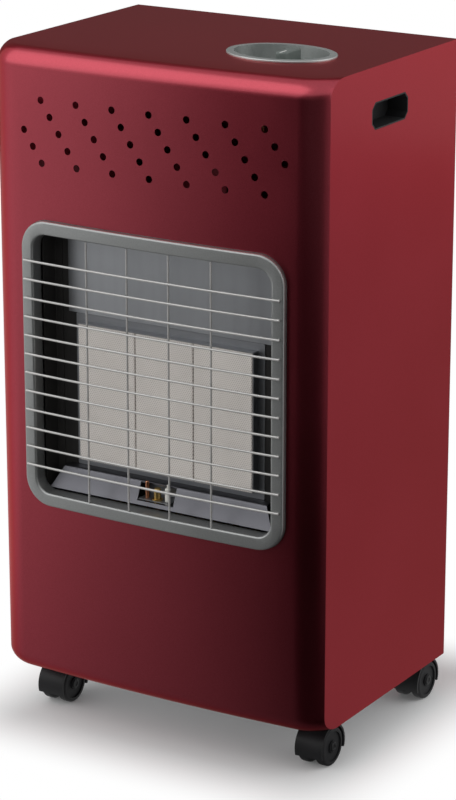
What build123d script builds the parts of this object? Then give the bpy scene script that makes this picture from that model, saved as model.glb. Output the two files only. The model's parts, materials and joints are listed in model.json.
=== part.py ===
from build123d import *
import os
from math import asin, cos, degrees, radians, sin, sqrt, tan

# Cabinet gas heater on casters. Millimetres, +Z up, +Y to the back.
# The origin is on the floor, under the middle of the whole outline.

# Cabinet
cabinet_width = 410.0
cabinet_height = 710.0
side_depth = 275.0
sheet = 1.0
front_bow_radius = 2800.0
front_corner_radius = 45.0
front_turn = 48.0
edge_roll = 20.0
seam_margin = 4.0
front_flange = 14.0
tray_flange = 14.0
rear_return = 16.0
part_gap = 0.3
running_gap = 0.06

# Ventilation holes above the burner window
vent_hole = 8.0
vent_pitch = 46.0
vent_row_pitch = 17.0
vent_rows = 5
vent_margin = 43.0
vent_drop = 53.0

# Hand slots in the sides and the cups behind them
slot_length = 75.0
slot_height = 26.0
slot_corner = 6.0
slot_drop = 52.0
slot_setback = 125.0
cup_wall = 1.6
cup_depth = 24.0
cup_rim = 5.0

# Burner window, bezel and guard
window_head = 183.0
window_foot = 205.0
window_side = 41.0
bezel_corner = 32.0
bezel_band = 15.0
bezel_wall = 1.5
bezel_stand = 6.0
bezel_depth = 14.0
bezel_flange = 8.0
bezel_edge = 2.5
window_gap = 0.6
rung_wire = 2.6
rung_count = 12
rung_margin = 30.5
rung_lap = 11.0
upright_wire = 2.2
upright_count = 4
upright_margin = 71.0

# Plaques, burners and the recess round them
plaque_side = 39.05
plaque_head = 102.0
plaque_foot = 36.0
plaque_thick = 12.0
plaque_gap = 1.2
plaque_recess = 26.0
plaque_edge = 0.8
plaque_stand = 1.2
retainer_edge = 8.0
retainer_corner = 1.5
reflector_back_gap = 18.0
reflector_front_gap = 4.0
reflector_bend = 4.0
plate_bend = 2.0
wall_flange = 10.0
chamber_gap = 2.0
plenum_depth = 30.0
plenum_lap = 2.0
plenum_corner = 6.0
venturi_throat = 8.0
venturi_mouth = 12.0
venturi_length = 38.0
venturi_flare = 16.0
shield_recess = 86.0
shield_head = 165.0
shield_flange = 12.0

# Gas train and pilot
manifold_radius = 6.0
manifold_overhang = 20.0
injector_radius = 4.0
injector_length = 10.0
injector_gap = 6.0
main_pipe_radius = 3.0
pilot_pipe_radius = 2.0
lead_radius = 1.5
sensor_lead_radius = 1.0
lane_pitch = 10.0
lane_drop = 7.0
pipe_bend = 9.0
pilot_x = -6.0
pilot_recess = 21.5
pilot_radius = 4.0
pilot_rise = 14.0
pilot_tail = 8.0
pilot_collar = 6.0
pilot_pitch = 13.0
sensor_radius = 2.2
sensor_rise = 20.0
electrode_radius = 3.0
electrode_rise = 16.0
electrode_wire = 0.8
bracket_drop = 18.0
bracket_width = 40.0
bracket_lip = 12.0
bracket_reach = 7.0
pilot_window = 46.0
valve_width = 44.0
valve_depth = 40.0
valve_height = 42.0
valve_edge = 3.0
bonnet_radius = 13.0
bonnet_height = 16.0
bonnet_bore = 11.0
outlet_pitch = 20.0
nozzle_radius = 4.0
nozzle_length = 24.0
nozzle_collar = 8.0
nozzle_collar_thick = 6.0

# Controls in the top
control_x = 88.0
control_setback = 101.0
plate_half_width = 62.0
plate_half_depth = 47.0
plate_rim = 8.0
plate_stand = 2.4
plate_wall = 1.5
plate_edge = 1.2
well_depth = 17.0
knob_offset = 8.0
knob_radius = 21.0
knob_skirt = 5.0
knob_height = 17.0
knob_grip = 12.0
knob_edge = 1.5
pointer_width = 2.0
pointer_length = 14.0
pointer_depth = 0.4
knob_travel = 4.0
knob_gap = 1.0
spindle_radius = 4.0
spindle_clear = 1.5
spindle_bore = 30.0
knob_cap = 4.0
collar_radius = 7.0
collar_height = 4.0
igniter_offset = -37.0
igniter_radius = 9.0
igniter_length = 52.0
igniter_neck = 7.5
igniter_stand = 3.0
button_radius = 5.5
button_stand = 7.0
button_travel = 5.0
button_length = 18.0

# Rear
rear_bulge = 96.0
cover_side = 9.0
cover_head = 154.0
cover_corner = 8.0
cover_foot = 8.0
cover_rim_side = 24.0
cover_rim_end = 14.0
cover_taper_side = 40.0
cover_taper_end = 25.0
tongue_reach = 12.0
tongue_height = 30.0
tongue_margin = 84.0
rear_slot_side = 130.0
rear_slot_width = 6.0
rear_slot_pitch = 16.0
rear_slot_rows = 5
rear_slot_margin = 70.0
back_gap = 4.0
back_lip = 12.0
screw_head = 4.0
screw_head_height = 2.2
screw_shank = 1.9
screw_reach = 5.0
screw_drops = (34.0, 114.0)
base_slot_length = 60.0
base_slot_pitch = 24.0

# Casters
caster_height = 58.0
caster_inset = 35.0
caster_front_setback = 66.0
caster_rear_setback = 17.0
wheel_radius = 22.0
wheel_width = 12.0
wheel_round = 3.0
wheel_rim = 5.0
wheel_dish = 2.0
wheel_hub = 7.0
caster_web = 8.0
wheel_gap = 0.8
hood_gap = 1.6
hood_wall = 2.4
hood_skirt = 8.0
caster_trail = 14.0
axle_radius = 3.0
press_gap = 0.02
stem_radius = 5.0
stem_boss = 9.0
stem_end_gap = 1.0
socket_plate = 44.0
socket_corner = 6.0
socket_thick = 2.5
socket_radius = 8.5
socket_height = 16.0
swivel_gap = 1.0

# Places worked out from the sizes above
half_width = cabinet_width / 2
inner_half = half_width - sheet
turn = radians(front_turn)
bow_angle = asin((half_width - front_corner_radius * sin(turn)) / (front_bow_radius - front_corner_radius))
corner_x = (front_bow_radius - front_corner_radius) * sin(bow_angle)
front_bulge = front_bow_radius * (1 - cos(bow_angle)) + front_corner_radius * (cos(bow_angle) - cos(turn))
front_stand = bezel_stand + rung_wire + running_gap
depth_total = front_stand + front_bulge + side_depth + rear_bulge
y_front = front_stand - depth_total / 2
y_crease = y_front + front_bulge
y_rear = y_crease + side_depth
y_back = y_rear + rear_bulge
y_bow = y_front + front_bow_radius
y_corner = y_bow - (front_bow_radius - front_corner_radius) * cos(bow_angle)
y_seam = y_crease + edge_roll / cos(turn) + seam_margin
z_bottom = caster_height
z_top = z_bottom + cabinet_height
z_middle = (z_bottom + z_top) / 2
bezel_width = cabinet_width - 2 * window_side
bezel_height = cabinet_height - window_head - window_foot
bezel_inner_width = bezel_width - 2 * bezel_band
bezel_inner_height = bezel_height - 2 * bezel_band
z_burner = z_bottom + window_foot + bezel_height / 2
plaque_width = (bezel_inner_width - 2 * plaque_side - 2 * plaque_gap) / 3
plaque_height = bezel_inner_height - plaque_head - plaque_foot
z_plaque = z_burner - bezel_inner_height / 2 + plaque_foot + plaque_height / 2
y_bezel_back = y_front + bezel_depth
y_plaque = y_front + plaque_recess
y_plate = y_plaque + plaque_thick
y_plenum = y_plate + sheet
y_injector = y_plenum + plenum_depth / 2
y_shield = y_front + shield_recess
chamber_half = bezel_inner_width / 2 - chamber_gap
chamber_height = bezel_inner_height - 2 * chamber_gap
plaque_pitch = plaque_width + plaque_gap
plaque_places = {"left": -plaque_pitch, "centre": 0.0, "right": plaque_pitch}
plaques_width = 2 * plaque_pitch + plaque_width
retainer_margin = part_gap + sheet + retainer_edge
reflector_back_half = chamber_half - reflector_back_gap
reflector_front_half = chamber_half - reflector_front_gap
shield_height = cabinet_height - shield_head
vent_span = cabinet_width - 2 * vent_margin
y_slot = y_crease + slot_setback
z_slot = z_top - slot_drop
sides = {"left": -1, "right": 1}


def front_outline(inset):
    """Lines of the cabinet's plan at an inset: bowed front, rounded ends, and straight runs past the sides."""
    start = 270 - degrees(bow_angle)
    end_sweep = front_turn - degrees(bow_angle)
    CenterArc((0, y_bow), front_bow_radius - inset, start, 2 * degrees(bow_angle))
    right = CenterArc((corner_x, y_corner), front_corner_radius - inset, 270 + degrees(bow_angle), end_sweep)
    left = CenterArc((-corner_x, y_corner), front_corner_radius - inset, start, -end_sweep)
    ledge = 1.5 * edge_roll
    run = ledge * tan(turn) + seam_margin
    run_end = right @ 1 + Vector(cos(turn), sin(turn)) * run
    ledge_end = run_end + Vector(-sin(turn), cos(turn)) * ledge
    half = [run_end, ledge_end, Vector(ledge_end.X, y_rear)]
    other_half = [Vector(-point.X, point.Y) for point in reversed(half)]
    Polyline(right @ 1, *half, *other_half, left @ 1)


def envelope(inset):
    """The cabinet's outer form, drawn in by an inset, with its front edges rolled."""
    with BuildPart() as form:
        with BuildSketch(Plane.XY.offset(z_bottom + inset)):
            with BuildLine():
                front_outline(inset)
            make_face()
        extrude(amount=cabinet_height - 2 * inset)
        levels = form.edges().filter_by(Axis.Z, reverse=True).group_by(Axis.Z)
        fillet(levels[0].sort_by(Axis.Y)[:5] + levels[-1].sort_by(Axis.Y)[:5], edge_roll - inset)
        with BuildSketch(Plane.XY.offset(z_bottom)):
            Rectangle(2 * (half_width - inset), 2 * depth_total)
        extrude(amount=cabinet_height, mode=Mode.INTERSECT)
    return form.part


def bowed_block(inset, y_flat):
    """A block behind the bowed front: its front follows the bow at an inset, its back is flat."""
    with BuildPart() as block:
        with BuildSketch(Plane.XY.offset(z_bottom)):
            with BuildLine():
                bow = CenterArc(
                    (0, y_bow), front_bow_radius - inset, 270 - degrees(bow_angle), 2 * degrees(bow_angle)
                )
                Polyline(bow @ 1, ((bow @ 1).X, y_flat), ((bow @ 0).X, y_flat), bow @ 0)
            make_face()
        extrude(amount=cabinet_height)
    return block.part


def window_ring(outer_margin, inner_margin):
    """A ring round the burner window between two margins from the bezel's outer edge, plus outwards."""
    with BuildPart() as ring:
        with BuildSketch(Plane.XZ.offset(-y_shield)):
            with Locations((0, z_burner)):
                RectangleRounded(
                    bezel_width + 2 * outer_margin, bezel_height + 2 * outer_margin, bezel_corner + outer_margin
                )
                RectangleRounded(
                    bezel_width + 2 * inner_margin,
                    bezel_height + 2 * inner_margin,
                    bezel_corner + inner_margin,
                    mode=Mode.SUBTRACT,
                )
        extrude(amount=shield_recess + front_stand)
    return ring.part


def bent_sheet(plane, corners, bend, width):
    """A strip of sheet bent along a line of corners, half its width each side of the plane."""
    with BuildPart() as strip:
        with BuildSketch(plane):
            with BuildLine():
                FilletPolyline(*corners, radius=bend)
                offset(amount=sheet, side=Side.LEFT)
            make_face()
        extrude(amount=width / 2, both=True)
    return strip.part


def pipe(points, radius):
    """A round pipe or lead along straight runs with rounded corners."""
    with BuildPart() as tube:
        with BuildLine() as route:
            FilletPolyline(*points, radius=pipe_bend)
        with BuildSketch(Plane(origin=route.line @ 0, z_dir=route.line % 0)):
            Circle(radius)
        sweep(path=route.line)
    return tube.part


def rod(x, y, z_low, z_high, radius):
    """A round rod standing between two heights."""
    with BuildPart() as bar:
        with BuildSketch(Plane.XY.offset(z_low)):
            with Locations((x, y)):
                Circle(radius)
        extrude(amount=z_high - z_low)
    return bar.part


def slot_bar(x, reach, margin):
    """A bar with the hand slot's outline, grown by a margin, from a place across over a reach."""
    with BuildPart() as bar:
        with BuildSketch(Plane.YZ.offset(x)) as outline:
            with Locations((y_slot, z_slot)):
                Rectangle(slot_length + 2 * margin, slot_height + 2 * margin)
            chamfer(outline.vertices(), slot_corner + (2 - sqrt(2)) * margin)
        extrude(amount=reach)
    return bar.part


def tray(z_floor, rise):
    """A shallow sheet tray between the side panels, its walls standing up or hanging down."""
    depth = y_rear - y_seam
    floor = sheet if rise > 0 else -sheet
    with BuildPart() as pan:
        with BuildSketch(Plane.XY.offset(z_floor)):
            with Locations((0, (y_seam + y_rear) / 2)):
                Rectangle(2 * inner_half, depth)
        extrude(amount=rise)
        with BuildSketch(Plane.XY.offset(z_floor + floor)):
            with Locations((0, (y_seam + y_rear) / 2)):
                Rectangle(2 * (inner_half - sheet), depth - 2 * sheet)
        extrude(amount=rise, mode=Mode.SUBTRACT)
    return pan.part


outer_form = envelope(0)
inner_form = envelope(sheet)

# Front panel: bowed sheet with rolled edges, ventilation holes and the burner window
with BuildPart() as front_panel:
    add(outer_form)
    add(inner_form, mode=Mode.SUBTRACT)
    split(bisect_by=Plane.XZ.offset(-y_seam), keep=Keep.TOP)
    with BuildSketch(Plane.XY.offset(z_bottom)):
        with Locations(*[(sign * (half_width - sheet / 2), (y_crease + y_seam) / 2) for sign in sides.values()]):
            Rectangle(sheet, y_seam - y_crease)
    extrude(amount=cabinet_height, mode=Mode.SUBTRACT)
    with BuildSketch(Plane.XY.offset(z_bottom + edge_roll)):
        with Locations(*[(sign * (inner_half - sheet / 2), y_crease - sheet) for sign in sides.values()]):
            Rectangle(sheet, sheet + front_flange, align=(Align.CENTER, Align.MIN))
    extrude(amount=cabinet_height - 2 * edge_roll)
    with BuildSketch(Plane.XZ.offset(-y_crease)):
        with Locations((0, z_burner)):
            RectangleRounded(bezel_width + 2 * window_gap, bezel_height + 2 * window_gap, bezel_corner + window_gap)
        for row in range(vent_rows):
            shift = row * vent_pitch / 4
            reach = int(vent_span / vent_pitch) + vent_rows
            places = [shift + step * vent_pitch for step in range(-reach, reach)]
            height = z_top - vent_drop - row * vent_row_pitch
            with Locations(*[(place, height) for place in places if abs(place) <= vent_span / 2]):
                Circle(vent_hole / 2)
    extrude(amount=2 * front_bulge, mode=Mode.SUBTRACT)

# Side panels: flat sheets cut to the cabinet's outline, with a hand slot and a rear return
x_return = inner_half - rear_return / 2
screw_heights = [z_top - drop for drop in screw_drops]
side_panels = {}
for side, sign in sides.items():
    with BuildPart() as side_panel:
        with BuildSketch(Plane.YZ.offset(sign * (half_width - sheet / 2))):
            with Locations(((y_crease + y_rear) / 2, z_middle)):
                Rectangle(side_depth, cabinet_height)
        extrude(amount=sheet / 2, both=True)
        add(outer_form, mode=Mode.INTERSECT)
        with BuildSketch(Plane.XZ.offset(-y_rear)):
            with Locations((sign * x_return, z_middle)):
                Rectangle(rear_return, cabinet_height - 2 * tray_flange - 2 * part_gap)
            with Locations(*[(sign * x_return, height) for height in screw_heights]):
                Circle(screw_shank + running_gap, mode=Mode.SUBTRACT)
        extrude(amount=sheet)
        add(slot_bar(sign * (half_width + sheet), -sign * 3 * sheet, cup_wall), mode=Mode.SUBTRACT)
    side_panels[side] = side_panel

# Hand cups: a recess for the fingers that lines the slot, with a rim behind the sheet
hand_cups = {}
for side, sign in sides.items():
    with BuildPart() as hand_cup:
        add(slot_bar(sign * half_width, -sign * (sheet + cup_depth), cup_wall - running_gap))
        add(slot_bar(sign * inner_half, -sign * cup_wall, cup_wall + cup_rim))
        add(slot_bar(sign * half_width, -sign * (sheet + cup_depth - cup_wall), 0), mode=Mode.SUBTRACT)
    hand_cups[side] = hand_cup

# Places of the controls
x_knob = control_x + knob_offset
x_igniter = control_x + igniter_offset
y_control = y_crease + control_setback
z_well = z_top - well_depth
z_seat = z_well - plate_wall
well_half_width = plate_half_width - plate_rim
well_half_depth = plate_half_depth - plate_rim

# Top panel: a tray upside down, with an oval hole for the control well
with BuildPart() as top_panel:
    add(tray(z_top, -tray_flange))
    with BuildSketch(Plane.XY.offset(z_top)):
        with Locations((control_x, y_control)):
            Ellipse(well_half_width + plate_wall + part_gap, well_half_depth + plate_wall + part_gap)
    extrude(amount=-2 * sheet, mode=Mode.SUBTRACT)

# Casters' places, and the way each one trails at rest
caster_x = half_width - caster_inset
caster_y = {"front": y_crease + caster_front_setback, "rear": y_rear - caster_rear_setback}
caster_way = {"front": -1, "rear": 1}
casters = {
    f"{end}_{side}": (sign * caster_x, caster_y[end], caster_way[end])
    for end in caster_y
    for side, sign in sides.items()
}

# Base tray, with holes for the casters' sockets and slots that let gas drain
with BuildPart() as base_tray:
    add(tray(z_bottom, tray_flange))
    with BuildSketch(Plane.XY.offset(z_bottom)):
        with Locations(*[(x, y) for x, y, way in casters.values()]):
            Circle(socket_radius + running_gap)
        with Locations((0, (y_shield + y_rear) / 2)):
            with GridLocations(2 * base_slot_length, base_slot_pitch, 2, 4):
                SlotOverall(base_slot_length, rear_slot_width)
    extrude(amount=2 * sheet, mode=Mode.SUBTRACT)

# Bezel: a hollow frame that stands out of the window, bowed and rounded, with a flange behind the front panel
frame_front = bowed_block(-bezel_stand, y_bezel_back)
hollow_front = bowed_block(bezel_wall - bezel_stand, y_bezel_back)
flange_front = bowed_block(sheet + running_gap, y_bezel_back)
flange_back = bowed_block(sheet + running_gap + bezel_wall, y_bezel_back)
band_ring = window_ring(0, -bezel_band)
hollow_ring = window_ring(-bezel_wall, bezel_wall - bezel_band)
flange_ring = window_ring(bezel_flange, -bezel_wall)
with BuildPart() as bezel_flange_strip:
    add(flange_ring)
    add(flange_front, mode=Mode.INTERSECT)
    add(flange_back, mode=Mode.SUBTRACT)
with BuildPart() as bezel_hollow:
    add(hollow_ring)
    add(hollow_front, mode=Mode.INTERSECT)
with BuildPart() as burner_bezel:
    add(band_ring)
    add(frame_front, mode=Mode.INTERSECT)
    fillet(burner_bezel.faces().sort_by(Axis.Y)[0].edges(), bezel_edge)
    add(bezel_hollow.part, mode=Mode.SUBTRACT)
    add(bezel_flange_strip.part)

# Wire guard: bowed rungs that lie on the bezel's band, with uprights behind them
rung_radius = front_bow_radius + bezel_stand + rung_wire / 2 + running_gap
rung_reach = asin((bezel_inner_width / 2 + rung_lap) / rung_radius)
rung_pitch = (bezel_inner_height - 2 * rung_margin) / (rung_count - 1)
rung_levels = [z_burner + (step - (rung_count - 1) / 2) * rung_pitch for step in range(rung_count)]
rung_end = (-sin(rung_reach), -cos(rung_reach), 0)
upright_pitch = (bezel_inner_width - 2 * upright_margin) / (upright_count - 1)
upright_places = [(step - (upright_count - 1) / 2) * upright_pitch for step in range(upright_count)]
upright_step = (rung_wire + upright_wire) / 2 + running_gap
with BuildPart() as wire_guard:
    with BuildSketch(Plane(origin=(0, y_bow, 0), x_dir=rung_end, z_dir=(rung_end[1], -rung_end[0], 0))):
        with Locations(*[(rung_radius, level) for level in rung_levels]):
            Circle(rung_wire / 2)
    revolve(axis=Axis((0, y_bow, 0), (0, 0, 1)), revolution_arc=2 * degrees(rung_reach))
    with BuildSketch(Plane.XY.offset(z_burner)):
        for place in upright_places:
            with Locations((place, y_bow - sqrt(rung_radius**2 - place**2) + upright_step)):
                Circle(upright_wire / 2)
    extrude(amount=bezel_inner_height / 2 - part_gap, both=True)

# Plaques and the retainer that holds them against the burner plate
plaques = {}
for place, x in plaque_places.items():
    with BuildPart() as plaque:
        with BuildSketch(Plane.XZ.offset(-y_plaque)):
            with Locations((x, z_plaque)):
                Rectangle(plaque_width, plaque_height)
        extrude(amount=-plaque_thick)
        chamfer(plaque.faces().sort_by(Axis.Y)[0].edges(), plaque_edge)
    plaques[place] = plaque
with BuildPart() as plaque_retainer:
    with BuildSketch(Plane.XZ.offset(-y_plate)):
        with Locations((0, z_plaque)):
            RectangleRounded(
                plaques_width + 2 * (part_gap + sheet), plaque_height + 2 * (part_gap + sheet), retainer_corner
            )
    extrude(amount=plaque_thick - plaque_stand)
    with BuildSketch(Plane.XZ.offset(-y_plate)):
        with Locations((0, z_plaque)):
            RectangleRounded(
                plaques_width + 2 * retainer_margin, plaque_height + 2 * retainer_margin, retainer_corner
            )
    extrude(amount=sheet)
    with BuildSketch(Plane.XZ.offset(-y_plate)):
        with Locations((0, z_plaque)):
            Rectangle(plaques_width + 2 * part_gap, plaque_height + 2 * part_gap)
    extrude(amount=plaque_thick, mode=Mode.SUBTRACT)

# Burner plate: carries the plaques and plenums, its legs stand on the heat shield
with BuildPart() as burner_plate:
    add(
        bent_sheet(
            Plane.XY.offset(z_burner),
            [
                (-chamber_half, y_shield),
                (-chamber_half, y_plate),
                (chamber_half, y_plate),
                (chamber_half, y_shield),
            ],
            plate_bend,
            chamber_height,
        )
    )
    with BuildSketch(Plane.XZ.offset(-y_plenum)):
        with Locations(*[(x, z_plaque) for x in plaque_places.values()]):
            Rectangle(plaque_width - 2 * plenum_lap - 2 * sheet, plaque_height - 2 * plenum_lap - 2 * sheet)
    extrude(amount=2 * sheet, mode=Mode.SUBTRACT)

# Walls of the burner recess: dark sides, bright reflectors above and below
recess_walls = {}
for side, sign in sides.items():
    corners = [
        (sign * chamber_half, y_bezel_back + part_gap),
        (sign * chamber_half, y_plate),
        (sign * (chamber_half - wall_flange), y_plate),
    ]
    with BuildPart() as recess_wall:
        add(bent_sheet(Plane.XY.offset(z_burner), corners[::sign], plate_bend, chamber_height))
    recess_walls[side] = recess_wall
z_reflector_high = z_burner + chamber_height / 2
z_reflector_low = z_burner - chamber_height / 2
z_ledge_high = z_plaque + plaque_height / 2 + retainer_margin + part_gap
z_ledge_low = z_plaque - plaque_height / 2 - retainer_margin - part_gap
y_reflector = y_bezel_back + part_gap
y_ledge = y_plaque - sheet
y_wall_flange = y_plate - sheet
with BuildPart() as reflector_top:
    add(
        bent_sheet(
            Plane.YZ,
            [(y_reflector, z_reflector_high), (y_wall_flange, z_reflector_high), (y_wall_flange, z_ledge_high)],
            reflector_bend,
            2 * reflector_back_half,
        )
    )
with BuildPart() as reflector_bottom:
    add(
        bent_sheet(
            Plane.YZ,
            [(y_wall_flange, z_ledge_low), (y_ledge, z_ledge_low), (y_reflector, z_reflector_low)],
            reflector_bend,
            2 * reflector_front_half,
        )
    )
    with BuildSketch(Plane.XY.offset(z_reflector_low - sheet)):
        with BuildLine():
            Polyline(
                (reflector_front_half, y_reflector - sheet),
                (reflector_back_half, y_ledge),
                (reflector_back_half, y_plate),
                (-reflector_back_half, y_plate),
                (-reflector_back_half, y_ledge),
                (-reflector_front_half, y_reflector - sheet),
                close=True,
            )
        make_face()
    extrude(amount=chamber_height / 2, mode=Mode.INTERSECT)
    with BuildSketch(Plane.XZ.offset(-y_ledge)):
        with Locations((pilot_x, z_reflector_low + reflector_bend)):
            Rectangle(pilot_window, z_ledge_low - z_reflector_low, align=(Align.CENTER, Align.MIN))
    extrude(amount=2 * bezel_depth, mode=Mode.SUBTRACT)

# Heat shield between the burner and the bottle, flanged against the side panels
z_shield = z_bottom + tray_flange + part_gap
with BuildPart() as heat_shield:
    add(
        bent_sheet(
            Plane.XY.offset(z_shield + shield_height / 2),
            [
                (-inner_half, y_shield + shield_flange),
                (-inner_half, y_shield),
                (inner_half, y_shield),
                (inner_half, y_shield + shield_flange),
            ],
            plate_bend,
            shield_height,
        )
    )

# Burner plenums, each with its mixing tube
z_plenum = z_plaque - plaque_height / 2 + plenum_lap
z_mouth = z_plenum - venturi_length
plenums = {}
for place, x in plaque_places.items():
    with BuildPart() as plenum:
        with BuildSketch(Plane.XZ.offset(-y_plenum)):
            with Locations((x, z_plaque)):
                Rectangle(plaque_width - 2 * plenum_lap, plaque_height - 2 * plenum_lap)
        extrude(amount=-plenum_depth)
        fillet(plenum.faces().sort_by(Axis.Y)[-1].edges(), plenum_corner)
        offset(amount=-sheet, openings=plenum.faces().sort_by(Axis.Y)[0])
        with BuildSketch(Plane.XY.offset(z_plenum)):
            with Locations((x, y_injector)):
                Circle(venturi_throat)
        extrude(amount=2 * sheet, both=True, mode=Mode.SUBTRACT)
        with BuildSketch(Plane.XZ.offset(-y_injector)):
            with BuildLine():
                Polyline(
                    (x + venturi_throat, z_plenum + sheet),
                    (x + venturi_throat, z_mouth + venturi_flare),
                    (x + venturi_mouth, z_mouth),
                    (x + venturi_mouth + sheet, z_mouth),
                    (x + venturi_throat + sheet, z_mouth + venturi_flare),
                    (x + venturi_throat + sheet, z_plenum + sheet),
                    close=True,
                )
            make_face()
        revolve(axis=Axis((x, y_injector, 0), (0, 0, 1)))
    plenums[place] = plenum

# Injector manifold: a bar under the mixing tubes with one injector for each
z_manifold = z_mouth - injector_gap - injector_length - manifold_radius
x_manifold = plaque_pitch + manifold_overhang
with BuildPart() as injector_manifold:
    with BuildSketch(Plane.YZ):
        with Locations((y_injector, z_manifold)):
            Circle(manifold_radius)
    extrude(amount=x_manifold, both=True)
    with BuildSketch(Plane.XY.offset(z_manifold)):
        with Locations(*[(x, y_injector) for x in plaque_places.values()]):
            Circle(injector_radius)
    extrude(amount=manifold_radius + injector_length)

# Gas valve under the control well: body, bonnet and its bores
z_valve_top = z_seat - bonnet_height
z_valve = z_valve_top - valve_height / 2
with BuildPart() as gas_valve:
    with BuildSketch(Plane.XY.offset(z_valve_top)):
        with Locations((x_knob, y_control)):
            Rectangle(valve_width, valve_depth)
    extrude(amount=-valve_height)
    fillet(gas_valve.edges(), valve_edge)
    with BuildSketch(Plane.XY.offset(z_valve_top - valve_edge)):
        with Locations((x_knob, y_control)):
            Circle(bonnet_radius)
    extrude(amount=bonnet_height + valve_edge)
    with BuildSketch(Plane.XY.offset(z_seat)):
        with Locations((x_knob, y_control)):
            Circle(collar_radius + part_gap)
    extrude(amount=-bonnet_bore, mode=Mode.SUBTRACT)
    with BuildSketch(Plane.XY.offset(z_seat)):
        with Locations((x_knob, y_control)):
            Circle(spindle_radius + running_gap)
    extrude(amount=-spindle_bore, mode=Mode.SUBTRACT)

# Hose nozzle on the back of the valve
y_valve_back = y_control + valve_depth / 2
y_valve_front = y_control - valve_depth / 2
with BuildPart() as hose_nozzle:
    with BuildSketch(Plane.XZ.offset(-y_valve_back)):
        with Locations((x_knob, z_valve)):
            RegularPolygon(nozzle_collar, 6)
    extrude(amount=-nozzle_collar_thick)
    with BuildSketch(Plane.XZ.offset(-(y_valve_back + nozzle_collar_thick))):
        with Locations((x_knob, z_valve)):
            Circle(nozzle_radius)
    extrude(amount=-nozzle_length)

# Spindle, its collar, and the knob on it
z_knob = z_well + knob_travel + knob_gap
z_knob_top = z_knob + knob_height
with BuildPart() as spindle_collar:
    with BuildSketch(Plane.XY.offset(z_seat - part_gap)):
        with Locations((x_knob, y_control)):
            Circle(collar_radius)
            Circle(spindle_radius + running_gap, mode=Mode.SUBTRACT)
    extrude(amount=-collar_height)
with BuildPart() as valve_spindle:
    add(
        rod(
            x_knob, y_control, z_seat - spindle_bore + knob_travel + knob_gap, z_knob_top - knob_cap, spindle_radius
        )
    )
with BuildPart() as control_knob:
    with BuildSketch(Plane.XY.offset(z_knob)):
        with Locations((x_knob, y_control)):
            Circle(knob_radius)
    extrude(amount=knob_skirt)
    with BuildSketch(Plane.XY.offset(z_knob + knob_skirt)):
        with Locations((x_knob, y_control)):
            SlotOverall(2 * knob_radius - knob_edge, knob_grip, rotation=90)
    extrude(amount=knob_height - knob_skirt)
    fillet(control_knob.faces().sort_by(Axis.Z)[-1].edges(), knob_edge)
    with BuildSketch(Plane.XY.offset(z_knob_top)):
        with Locations((x_knob, y_control - knob_radius / 2)):
            Rectangle(pointer_width, pointer_length)
    extrude(amount=-pointer_depth, mode=Mode.SUBTRACT)
    with BuildSketch(Plane.XY.offset(z_knob)):
        with Locations((x_knob, y_control)):
            Circle(spindle_radius + press_gap)
    extrude(amount=knob_height - knob_cap, mode=Mode.SUBTRACT)

# Control plate: an oval rim on the top panel with a well sunk through it
with BuildPart() as control_plate:
    with BuildSketch(Plane.XY.offset(z_top)):
        with Locations((control_x, y_control)):
            Ellipse(plate_half_width, plate_half_depth)
    extrude(amount=plate_stand)
    fillet(control_plate.faces().sort_by(Axis.Z)[-1].edges(), plate_edge)
    with BuildSketch(Plane.XY.offset(z_top)):
        with Locations((control_x, y_control)):
            Ellipse(well_half_width + plate_wall, well_half_depth + plate_wall)
    extrude(amount=-(well_depth + plate_wall))
    with BuildSketch(Plane.XY.offset(z_well)):
        with Locations((control_x, y_control)):
            Ellipse(well_half_width, well_half_depth)
    extrude(amount=well_depth + plate_stand, mode=Mode.SUBTRACT)
    with BuildSketch(Plane.XY.offset(z_well)):
        with Locations((x_knob, y_control)):
            Circle(spindle_radius + spindle_clear)
        with Locations((x_igniter, y_control)):
            Circle(igniter_neck + running_gap)
    extrude(amount=-2 * plate_wall, mode=Mode.SUBTRACT)

# Igniter hung under the well, and its push button
z_neck = z_well + igniter_stand
with BuildPart() as piezo_igniter:
    add(rod(x_igniter, y_control, z_seat - igniter_length, z_seat, igniter_radius))
    add(rod(x_igniter, y_control, z_seat, z_neck, igniter_neck))
    with BuildSketch(Plane.XY.offset(z_neck)):
        with Locations((x_igniter, y_control)):
            Circle(button_radius + running_gap)
    extrude(amount=-(button_length - button_stand + button_travel + knob_gap), mode=Mode.SUBTRACT)
with BuildPart() as igniter_button:
    add(rod(x_igniter, y_control, z_neck + button_stand - button_length, z_neck + button_stand, button_radius))
    fillet(igniter_button.faces().sort_by(Axis.Z)[-1].edges(), knob_edge)

# Pilot group on its bracket: pilot burner, flame sensor and spark electrode
y_pilot = y_front + pilot_recess
z_bracket = z_ledge_low - bracket_drop
x_sensor = pilot_x - pilot_pitch
x_electrode = pilot_x + pilot_pitch
with BuildPart() as pilot_bracket:
    add(
        bent_sheet(
            Plane.YZ.offset(pilot_x),
            [
                (y_pilot - bracket_reach, z_bracket),
                (y_plate, z_bracket),
                (y_plate, z_bracket + bracket_lip),
            ],
            plate_bend,
            bracket_width,
        )
    )
    with BuildSketch(Plane.XY.offset(z_bracket)):
        with Locations((pilot_x, y_pilot)):
            Circle(pilot_radius + running_gap)
        with Locations((x_sensor, y_pilot)):
            Circle(sensor_radius + running_gap)
        with Locations((x_electrode, y_pilot)):
            Circle(electrode_radius + running_gap)
    extrude(amount=2 * sheet, both=True, mode=Mode.SUBTRACT)
with BuildPart() as pilot_burner:
    add(rod(pilot_x, y_pilot, z_bracket - pilot_tail, z_bracket + pilot_rise, pilot_radius))
    add(rod(pilot_x, y_pilot, z_bracket + sheet, z_bracket + 2 * sheet, pilot_collar))
    fillet(pilot_burner.faces().sort_by(Axis.Z)[-1].edges(), knob_edge)

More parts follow.
